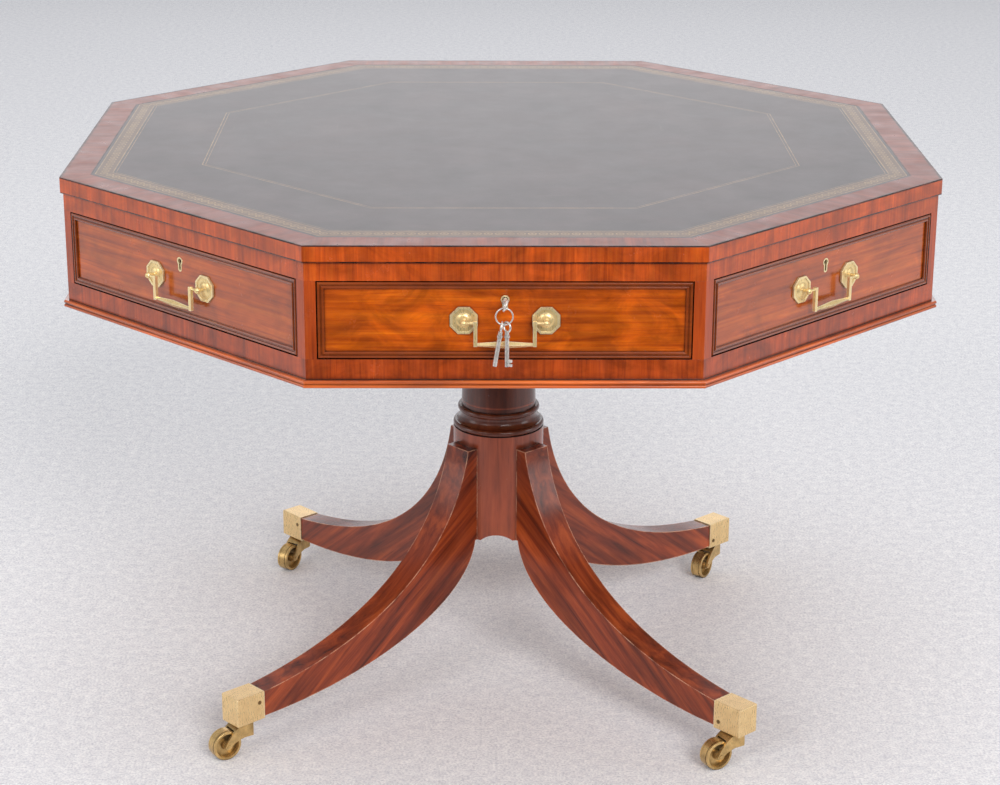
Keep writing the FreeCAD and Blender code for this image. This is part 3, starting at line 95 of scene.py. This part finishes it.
class Graph:
    """Short calls for building one material's nodes."""

    def __init__(self, name):
        self.material = bpy.data.materials.new(name)
        self.material.use_nodes = True
        self.tree = self.material.node_tree
        self.shader = self.tree.nodes["Principled BSDF"]

    def put(self, socket, value):
        """Link another node's result to a socket, or set a plain value on it."""
        if isinstance(value, bpy.types.NodeSocket):
            self.tree.links.new(value, socket)
        else:
            socket.default_value = value

    def add(self, kind, inputs=None, **settings):
        """New node with its settings made and its inputs filled."""
        node = self.tree.nodes.new(kind)
        for key, value in settings.items():
            setattr(node, key, value)
        for key, value in (inputs or {}).items():
            self.put(node.inputs[key], value)
        return node

    def surface(self, **values):
        """Finished material, with the shader's inputs named by keywords."""
        for key, value in values.items():
            self.put(self.shader.inputs[key.replace("_", " ")], value)
        return self.material

    def math(self, operation, *values):
        return self.add("ShaderNodeMath", dict(enumerate(values)), operation=operation).outputs[0]

    def scaled(self, vector, scale):
        return self.add("ShaderNodeVectorMath", {0: vector, 1: scale}, operation="MULTIPLY").outputs[0]

    def noise(self, vector, scale, detail=3.0, roughness=0.55, distortion=0.0):
        values = {"Vector": vector, "Scale": scale, "Detail": detail}
        values.update({"Roughness": roughness, "Distortion": distortion})
        return self.add("ShaderNodeTexNoise", values).outputs[0]

    def ramp(self, factor, *stops):
        """Colour picked by a factor from stops of place and colour."""
        node = self.add("ShaderNodeValToRGB", {"Fac": factor})
        elements = node.color_ramp.elements
        for element, (place, colour) in zip(elements, (stops[0], stops[-1])):
            element.position = place
            element.color = colour
        for place, colour in stops[1:-1]:
            elements.new(place).color = colour
        return node.outputs[0]

    def levels(self, factor, low, high, start=0.0, end=1.0):
        """Factor between low and high, mapped to start and end and held there outside."""
        values = {"Value": factor, "From Min": low, "From Max": high, "To Min": start, "To Max": end}
        return self.add("ShaderNodeMapRange", values).outputs[0]

    def blend(self, factor, first, second, mode="MIX"):
        """Mix of two colours, which a mix node takes at sockets 6 and 7 and gives at 2."""
        node = self.add("ShaderNodeMix", data_type="RGBA", blend_type=mode)
        for index, value in ((0, factor), (6, first), (7, second)):
            self.put(node.inputs[index], value)
        return node.outputs[2]

    def shaded(self, colour, shade):
        """Colour made lighter or darker by a grey factor."""
        grey = self.add("ShaderNodeCombineColor", {0: shade, 1: shade, 2: shade}).outputs[0]
        return self.blend(1.0, colour, grey, "MULTIPLY")

    def bump(self, height, strength, distance, eased=0.0):
        """Normal with fine relief, over edges that look rounded where a radius is given."""
        values = {"Height": height, "Strength": strength, "Distance": distance}
        if eased:
            values["Normal"] = self.add("ShaderNodeBevel", {"Radius": eased}, samples=4).outputs[0]
        return self.add("ShaderNodeBump", values).outputs[0]

    def crevice(self, distance):
        """Share of a place that is closed in by what stands near it."""
        node = self.add("ShaderNodeAmbientOcclusion", {"Distance": distance}, samples=8)
        return self.math("SUBTRACT", 1.0, self.levels(node.outputs["AO"], low=0.25, high=0.85))

    def edge(self, radius):
        """One along the edges of a solid, fading to nothing within about the radius."""
        rounded = self.add("ShaderNodeBevel", {"Radius": radius}, samples=6).outputs[0]
        plain = self.add("ShaderNodeNewGeometry").outputs["Normal"]
        pair = {0: rounded, 1: plain}
        same = self.add("ShaderNodeVectorMath", pair, operation="DOT_PRODUCT").outputs["Value"]
        return self.levels(same, low=0.97, high=0.80)

    def object_place(self):
        return self.add("ShaderNodeTexCoord").outputs["Object"]

    def turned_place(self, step, offset):
        """Place with X out of the nearest side, Y along it, and each side's pattern shifted."""
        step = math.radians(step)
        offset = math.radians(offset)
        place = self.object_place()
        split = self.add("ShaderNodeSeparateXYZ", {0: place}).outputs
        angle = self.math("ARCTAN2", split[1], split[0])
        side = self.math("ROUND", self.math("DIVIDE", self.math("SUBTRACT", angle, offset), step))
        turn = self.math("MULTIPLY", self.math("MULTIPLY_ADD", side, step, offset), -1.0)
        turned = {"Vector": place, "Angle": turn}
        rotated = self.add("ShaderNodeVectorRotate", turned, rotation_type="Z_AXIS").outputs[0]
        out = self.add("ShaderNodeSeparateXYZ", {0: rotated}).outputs
        lifted = self.math("MULTIPLY_ADD", side, SIDE_SHIFT, out[2])
        shifted = self.add("ShaderNodeCombineXYZ", {0: out[0], 1: out[1], 2: lifted}).outputs[0]
        return shifted, out


def wood(
    name, tones, stretch, pores, sides=None, slope=0.0, contrast=0.22, mottle=0.35, figure=0.0,
    gloss=0.22, shade_and_tarnish_reach=0.012, coat=0.6, polish=0.5, eased=0.0, details=None, edge_wear_and_highlight=None,
):
    """Polished wood: streaks and pores drawn out along the grain, a broad mottle, and painted shade in
    crevices.
    """
    light, middle, dark = tones
    g = Graph(name)
    place, out = g.turned_place(*sides) if sides else (g.object_place(), None)
    if slope:
        turn = {"Vector": place, "Angle": math.radians(slope)}
        place = g.add("ShaderNodeVectorRotate", turn, rotation_type="Y_AXIS").outputs[0]
    streak = g.noise(g.scaled(place, stretch), 1.0, detail=5.0, roughness=0.62, distortion=0.6)
    colour = g.ramp(streak, (0.5 - contrast, dark), (0.5, middle), (0.5 + contrast, light))
    wide = [value * 0.22 + 5 for value in stretch]
    broad = g.noise(g.scaled(place, wide), 1.0, roughness=0.5, distortion=0.9)
    colour = g.shaded(colour, g.levels(broad, 0.3, 0.7, start=1 - mottle, end=1 + mottle * 0.6))
    if figure:
        clouds = g.scaled(place, (20.0, 17.0, 26.0))
        plum = g.noise(clouds, 1.0, detail=4.0, roughness=0.6, distortion=1.2)
        colour = g.shaded(colour, g.levels(plum, 0.36, 0.64, start=1 - figure, end=1 + figure * 0.5))
    fleck = g.levels(g.noise(g.scaled(place, pores), 1.0, detail=2.0, roughness=0.5), 0.60, 0.72)
    colour = g.blend(g.math("MULTIPLY", fleck, 0.45), colour, dark)
    if details:
        colour = details(g, colour, out)
    # Pale edges along the arrises: partly wear, partly a painted highlight.
    if edge_wear_and_highlight:
        patchy_noise = g.noise(g.object_place(), 45.0, detail=4.0, roughness=0.7)
        patches = g.levels(patchy_noise, 0.40, 0.58, start=0.15, end=1.0)
        colour = g.blend(g.math("MULTIPLY", g.edge(EDGE_WEAR_AND_HIGHLIGHT_RADIUS), patches), colour, edge_wear_and_highlight)
    # Painted shade: the colour darkens towards a dark tone in crevices and under overhangs, by ambient
    # occlusion.
    if shade_and_tarnish_reach:
        painted_shade_tone = srgb(24, 10, 6)
        colour = g.blend(g.crevice(shade_and_tarnish_reach), colour, painted_shade_tone)
    rough = g.levels(g.noise(place, 38.0, detail=4.0), 0.3, 0.7, start=gloss - 0.03, end=gloss + 0.06)
    height = g.math("MULTIPLY_ADD", fleck, -0.6, streak)
    return g.surface(
        Base_Color=colour,
        Roughness=rough,
        Normal=g.bump(height, strength=0.08, distance=0.0005, eased=eased),
        Coat_Weight=coat,
        Coat_Roughness=0.12,
        Specular_IOR_Level=polish,
    )


def dark_lines(g, colour, out):
    """Dark line on the border's outer arris, painted shade of its rounded edge, and a dark line beside the
    leather, both broken into patches.
    """
    patchy_noise = g.noise(g.object_place(), 30.0, detail=4.0, roughness=0.65)
    patchy_share = g.levels(patchy_noise, 0.36, 0.58, start=0.4, end=1.0)
    outer = g.levels(out[0], low=TOP_EDGE - 0.0042, high=TOP_EDGE - 0.0022)
    inner = g.levels(out[0], low=LEATHER_EDGE + 0.0026, high=LEATHER_EDGE + 0.0012)
    line = g.math("MULTIPLY", g.math("MAXIMUM", outer, inner), patchy_share)
    # Dark tone of the painted arris shade and of the line beside the leather.
    dark_line_tone = srgb(34, 15, 9)
    return g.blend(line, colour, dark_line_tone)


def dark_joint_shade(g, colour, out):
    """Dark lines painted where the frieze meets the top and the base moulding; the upper one is painted
    shade under the top's overhang.
    """
    upper = g.math("COMPARE", out[2], FRIEZE_TOP, UPPER_JOINT_HALF)
    lower = g.math("COMPARE", out[2], FRIEZE_LOW, LOWER_JOINT_HALF)
    joint = g.math("MAXIMUM", upper, lower)
    uneven = g.noise(g.object_place(), 40.0, roughness=0.6)
    patchy_depth = g.levels(uneven, 0.34, 0.60, start=0.55, end=0.95)
    painted_shade_tone = srgb(26, 11, 7)
    return g.blend(g.math("MULTIPLY", joint, patchy_depth), colour, painted_shade_tone)


def dark_beads(g, colour, out):
    """Beads round a front, darker than its panel."""
    bead = g.levels(out[0], BEAD_START, BEAD_START + 0.0008, start=0.0, end=0.72)
    bead_tone = srgb(104, 44, 14)
    return g.blend(bead, colour, bead_tone)


def ring_and_shaft_shade(g, colour, out):
    """Turned rings darkened, and the shaft above them darkened as painted shade under the drum."""
    height = g.add("ShaderNodeSeparateXYZ", {0: g.object_place()}).outputs[2]
    rings = g.math("COMPARE", height, (RINGS_LOW + RINGS_TOP) / 2, (RINGS_TOP - RINGS_LOW) / 2)
    # Painted shade on the shaft under the drum.
    shaft = g.levels(height, RINGS_TOP, RINGS_TOP + 0.003, start=0.0, end=0.68)
    shade = g.math("MAXIMUM", g.math("MULTIPLY", rings, 0.66), shaft)
    painted_shade_tone = srgb(26, 10, 7)
    return g.blend(shade, colour, painted_shade_tone)


def tooling(g, distance, along):
    """One where the leather is tooled: a row of rosettes, the lines beside it and the inner lines."""
    repeat = g.math("SUBTRACT", g.math("FRACT", g.math("DIVIDE", along, TOOL_PITCH)), 0.5)
    cell = g.math("MULTIPLY", repeat, TOOL_PITCH)
    offset = g.math("SUBTRACT", distance, (BAND_OUTER + BAND_INNER) / 2)
    ring = g.math("SQRT", g.math("ADD", g.math("POWER", cell, 2.0), g.math("POWER", offset, 2.0)))
    rosette = g.math("COMPARE", ring, ROSETTE_RADIUS, ROSETTE_LINE)
    eye = g.math("LESS_THAN", ring, EYE_RADIUS)
    tooled = g.math("ADD", rosette, eye)
    lines = (
        (BAND_OUTER, BAND_LINE),
        (BAND_INNER, BAND_LINE),
        (BAND_INNER - PAIRED_LINE_GAP, THIN_LINE),
        (INNER_LINE, FIELD_LINE),
        (INNER_LINE - PAIRED_LINE_GAP, THIN_LINE),
    )
    for at, half in lines:
        tooled = g.math("MAXIMUM", tooled, g.math("COMPARE", distance, at, half))
    return tooled


def leather(name):
    """Polished hide with a tooled band near its edge and a pair of thin lines further in."""
    g = Graph(name)
    place, out = g.turned_place(*DRUM_SIDES)
    distance = out[0]
    whole = g.object_place()
    hide = g.noise(whole, 9.0, detail=6.0, roughness=0.6, distortion=0.4)
    colour = g.ramp(hide, (0.3, srgb(48, 34, 33)), (0.55, srgb(61, 45, 44)), (0.75, srgb(74, 56, 54)))
    tooled = tooling(g, distance, out[1])
    band = g.math("COMPARE", distance, (BAND_OUTER + BAND_INNER) / 2, (BAND_OUTER - BAND_INNER) / 2)
    band_tone = srgb(112, 82, 52)
    colour = g.blend(g.math("MULTIPLY", band, 0.7), colour, band_tone)
    patchy_share = g.levels(g.noise(place, 55.0, detail=4.0, roughness=0.65), 0.36, 0.62, start=0.3, end=0.8)
    old_gilt = srgb(176, 142, 92)
    colour = g.blend(g.math("MULTIPLY", tooled, patchy_share), colour, old_gilt)
    streaks = g.scaled(place, (260.0, 7.0, 7.0))
    scuffs = g.noise(streaks, 1.0, detail=2.0, roughness=0.5, distortion=0.3)
    scuff_tone = srgb(120, 104, 92)
    colour = g.blend(g.levels(scuffs, 0.69, 0.74, start=0.0, end=0.18), colour, scuff_tone)
    pebble = g.add("ShaderNodeTexVoronoi", {"Vector": place, "Scale": 620.0}).outputs["Distance"]
    height = g.math("MULTIPLY_ADD", tooled, -1.2, pebble)
    rough = g.levels(g.noise(whole, 26.0, detail=5.0, roughness=0.65), 0.3, 0.7, start=0.37, end=0.41)
    return g.surface(
        Base_Color=colour,
        Roughness=rough,
        Normal=g.bump(height, strength=0.16, distance=0.0004),
        Specular_IOR_Level=0.5,
        Coat_Weight=0.3,
        Coat_Roughness=0.3,
    )


def metal(name, bright, tarnish, rough, patina=0.35, shade_and_tarnish_reach=0.004, eased=0.0, lacquer=0.2, edge_wear_and_highlight=None):
    """Aged metal: tarnish in patches and crevices, with fine scratches and a share of dull lacquer."""
    g = Graph(name)
    place = g.object_place()
    stain = g.noise(place, 70.0, detail=5.0, roughness=0.6)
    colour = g.blend(g.levels(stain, 0.38, 0.68, start=0.0, end=patina), bright, tarnish)
    colour = g.blend(g.math("MULTIPLY", g.crevice(shade_and_tarnish_reach), 0.85), colour, tarnish)
    # Bright edges: partly wear, partly a painted highlight.
    if edge_wear_and_highlight:
        colour = g.blend(g.edge(EDGE_WEAR_AND_HIGHLIGHT_RADIUS), colour, edge_wear_and_highlight)
    scratch = g.noise(g.scaled(place, (900.0, 900.0, 140.0)), 1.0, detail=2.0)
    return g.surface(
        Base_Color=colour,
        Metallic=1 - lacquer,
        Roughness=g.levels(scratch, 0.3, 0.7, start=rough - 0.06, end=rough + 0.08),
        Normal=g.bump(scratch, strength=0.05, distance=0.0002, eased=eased),
    )


def make_woods():
    """Every finish of wood, by name. Tones run from light to dark, grain scales follow X, Y and Z."""
    rail = (srgb(202, 95, 20), srgb(181, 72, 9), srgb(118, 40, 8))
    low_rail = (srgb(186, 81, 18), srgb(162, 62, 9), srgb(102, 34, 8))
    front = (srgb(207, 101, 6), srgb(182, 78, 3), srgb(126, 44, 2))
    banding = (srgb(152, 74, 40), srgb(128, 54, 28), srgb(92, 34, 18))
    # Dummy fronts: a slightly darker, duller copy of the front's tones, as painted shade on these angled
    # faces.
    sham = (srgb(196, 98, 18), srgb(172, 75, 10), srgb(124, 46, 6))
    base = (srgb(220, 112, 36), srgb(198, 88, 22), srgb(112, 42, 12))
    dusky = (srgb(180, 88, 46), srgb(144, 63, 32), srgb(82, 30, 16))
    leg = (srgb(168, 76, 34), srgb(126, 50, 23), srgb(58, 20, 10))
    oak = (srgb(196, 158, 110), srgb(170, 128, 82), srgb(126, 88, 52))
    across = ((7.0, 190.0, 7.0), (45.0, 1500.0, 45.0))
    along = ((9.0, 5.0, 150.0), (40.0, 34.0, 1300.0))
    rail_grain = ((60.0, 230.0, 9.0), (300.0, 1500.0, 45.0))
    post_grain = ((90.0, 170.0, 6.0), (500.0, 1300.0, 40.0))
    leg_grain = ((5.0, 60.0, 80.0), (30.0, 1100.0, 1100.0))
    pillar_grain = ((80.0, 80.0, 5.0), (1100.0, 1100.0, 30.0))
    sides = DRUM_SIDES
    eased = EASED_RADIUS
    return {
        "banding": wood(
            "banding", banding, *across, sides, contrast=0.34, mottle=0.3, gloss=0.3,
            shade_and_tarnish_reach=0.0, coat=0.0, eased=ROUNDED_ARRIS, details=dark_lines,
        ),
        "rail": wood(
            "rail", rail, *rail_grain, sides, contrast=0.42, mottle=0.3, figure=0.25,
            eased=eased, details=dark_joint_shade,
        ),
        "post": wood("post", low_rail, *post_grain, sides, contrast=0.34, mottle=0.3, eased=eased),
        "low_rail": wood(
            "low_rail", low_rail, *rail_grain, sides, contrast=0.42, mottle=0.3, figure=0.3,
            eased=eased, details=dark_joint_shade,
        ),
        "front": wood(
            "front", front, *along, sides, contrast=0.27, mottle=0.2, figure=0.36, shade_and_tarnish_reach=0.016,
            coat=0.1, polish=0.3, eased=eased, details=dark_beads,
        ),
        "sham": wood(
            "sham", sham, *along, sides, contrast=0.27, mottle=0.25, figure=0.2, shade_and_tarnish_reach=0.016,
            coat=0.9, eased=eased, details=dark_beads,
        ),
        "base": wood("base", base, *along, sides),
        "leg": wood(
            "leg", leg, *leg_grain, PEDESTAL_LEGS, LEG_GRAIN_SLOPE, gloss=0.2, shade_and_tarnish_reach=0.008,
            coat=0.15, polish=0.4, edge_wear_and_highlight=srgb(236, 180, 144),
        ),
        "pillar": wood(
            "pillar", dusky, *pillar_grain, contrast=0.42, shade_and_tarnish_reach=0.014, coat=0.2, details=ring_and_shaft_shade,
        ),
        "oak": wood("oak", oak, *along, sides, gloss=0.5, coat=0.0),
    }


def make_metals():
    """Every finish of metal, by name."""
    return {
        "brass": metal(
            "brass", srgb(246, 218, 156), srgb(146, 108, 54), rough=0.3, patina=0.25, shade_and_tarnish_reach=0.005,
            eased=EASED_BRASS, lacquer=0.4, edge_wear_and_highlight=srgb(255, 244, 204),
        ),
        "cup_brass": metal(
            "cup_brass", srgb(238, 206, 150), srgb(168, 128, 76), rough=0.3, patina=0.25, shade_and_tarnish_reach=0.002,
            lacquer=0.35, edge_wear_and_highlight=srgb(255, 244, 208),
        ),
        "castor_brass": metal(
            "castor_brass", srgb(222, 186, 124), srgb(66, 46, 24), rough=0.3, patina=0.45, shade_and_tarnish_reach=0.010,
        ),
        "screw_brass": metal("screw_brass", srgb(128, 100, 62), srgb(52, 38, 22), rough=0.4),
        "iron": metal("iron", srgb(78, 74, 70), srgb(38, 32, 28), rough=0.5),
        "steel": metal("steel", srgb(240, 236, 230), srgb(96, 86, 78), rough=0.26, lacquer=0.35),
    }


def dress_table():
    """Match every node to its finish. The solids keep the smooth normals that came with them."""
    finish = {**make_woods(), "leather": leather("leather"), **make_metals()}
    rules = (
        ("top_crossbanding", "banding"),
        ("top_board", "rail"),
        ("frieze_bottom_rail", "low_rail"),
        ("frieze_", "rail"),
        ("corner_posts", "post"),
        ("base_moulding", "base"),
        ("drawer_front_", "front"),
        ("dummy_fronts", "sham"),
        ("writing_leather", "leather"),
        ("leg_", "leg"),
        ("pillar", "pillar"),
        ("bearing_block", "pillar"),
        ("castor_cups", "cup_brass"),
        ("castor_cup_screws", "screw_brass"),
        ("castor_", "castor_brass"),
        ("drawer_brasses_", "brass"),
        ("dummy_brasses", "brass"),
        ("bail_", "brass"),
        ("key", "steel"),
        ("front_lock_bolt", "steel"),
        ("spider_", "iron"),
        ("pivot_", "iron"),
        ("drum_bottom_board", "oak"),
        ("drawer_", "oak"),
    )
    for name, node in nodes.items():
        material = next(material for prefix, material in rules if name.startswith(prefix))
        node.data.materials.clear()
        node.data.materials.append(finish[material])


def make_floor():
    """Plain pale floor that reaches past the view."""
    half = FLOOR_HALF
    corners = [(-half, -half, 0), (half, -half, 0), (half, half, 0), (-half, half, 0)]
    mesh = bpy.data.meshes.new("floor")
    mesh.from_pydata(corners, [], [(0, 1, 2, 3)])
    floor = bpy.data.objects.new("floor", mesh)
    bpy.context.scene.collection.objects.link(floor)
    g = Graph("floor")
    place = g.object_place()
    coarse = g.math("MULTIPLY_ADD", g.noise(place, 70.0, detail=5.0, roughness=0.75), 0.5, 0.25)
    fine = g.math("MULTIPLY", g.noise(place, 300.0, detail=4.0, roughness=0.7), 0.5)
    felt = g.math("ADD", fine, g.math("MULTIPLY", coarse, 0.5))
    colour = g.ramp(felt, (0.42, srgb(208, 209, 216)), (0.58, srgb(255, 255, 255)))
    ahead = g.add("ShaderNodeSeparateXYZ", {0: place}).outputs[1]
    distant = g.levels(ahead, PALE_FLOOR_END, DIM_FLOOR_START)
    mirrored = g.add("ShaderNodeLightPath").outputs["Is Glossy Ray"]
    dim_tone = srgb(36, 36, 38)
    colour = g.blend(g.math("MULTIPLY", distant, mirrored), colour, dim_tone)
    mesh.materials.append(g.surface(Base_Color=colour, Roughness=0.95, Specular_IOR_Level=0.1))


def add_softbox(name, place, aim, width, height, power, tint):
    """Area lamp at a place, turned towards its aim, with its power in watts."""
    light = bpy.data.lights.new(name, "AREA")
    light.shape = "RECTANGLE"
    light.spread = math.radians(SOFTBOX_SPREAD)
    light.size = width
    light.size_y = height
    light.energy = power
    light.color = tint
    lamp = bpy.data.objects.new(name, light)
    lamp.location = place
    lamp.rotation_euler = (Vector(aim) - Vector(place)).to_track_quat("-Z", "Y").to_euler()
    bpy.context.scene.collection.objects.link(lamp)


def make_light():
    """Soft light from two far windows, the side walls, the ceiling and the back wall of a pale room."""
    white = (1.0, 1.0, 1.0)
    drum = (0, 0, 0.9)
    legs = (0, 0, 0.5)
    add_softbox("right_window", (3.6, -9.6, 6.2), drum, 5.2, 4.0, 280, (1.0, 0.98, 0.97))
    add_softbox("left_window", (-6.4, -8.0, 6.0), drum, 5.2, 4.0, 104, (1.0, 0.98, 0.96))
    add_softbox("ceiling", (0, 0.6, 6.0), (0, 0.4, 0), 5.0, 4.0, 30, (1.0, 0.99, 0.98))
    add_softbox("left_wall", (-5.0, -0.7, 1.4), legs, 1.8, 2.0, 8, white)
    add_softbox("right_wall", (5.0, -0.7, 1.4), legs, 1.8, 2.0, 8, white)
    add_softbox("back_wall", (0, 7.0, 2.4), (0, 1, 0.6), 7.0, 2.2, 23, (0.97, 0.97, 1.0))
    world = bpy.data.worlds.new("surround")
    bpy.context.scene.world = world
    world.use_nodes = True
    background = world.node_tree.nodes["Background"]
    background.inputs["Color"].default_value = ROOM_TINT
    background.inputs["Strength"].default_value = ROOM_STRENGTH


def make_camera():
    """Camera where the photograph was taken from."""
    yaw, pitch, roll = (math.radians(value) for value in (CAMERA_YAW, CAMERA_PITCH, CAMERA_ROLL))
    ahead = Vector((math.sin(yaw) * math.cos(pitch), math.cos(yaw) * math.cos(pitch), -math.sin(pitch)))
    level = Vector((math.cos(yaw), -math.sin(yaw), 0))
    down = ahead.cross(level)
    right = level * math.cos(roll) + down * math.sin(roll)
    up = level * math.sin(roll) - down * math.cos(roll)
    lens = bpy.data.cameras.new("camera")
    lens.sensor_width = SENSOR_WIDTH
    lens.lens = SENSOR_WIDTH * FOCAL_PIXELS / PHOTO_WIDTH
    camera = bpy.data.objects.new("camera", lens)
    turn = Matrix((right, up, -ahead)).transposed().to_4x4()
    camera.matrix_world = Matrix.Translation(CAMERA_PLACE) @ turn
    bpy.context.scene.collection.objects.link(camera)
    bpy.context.scene.camera = camera


dress_table()
make_floor()
make_light()
make_camera()
bpy.context.scene.view_settings.view_transform = "Standard"
bpy.context.view_layer.update()
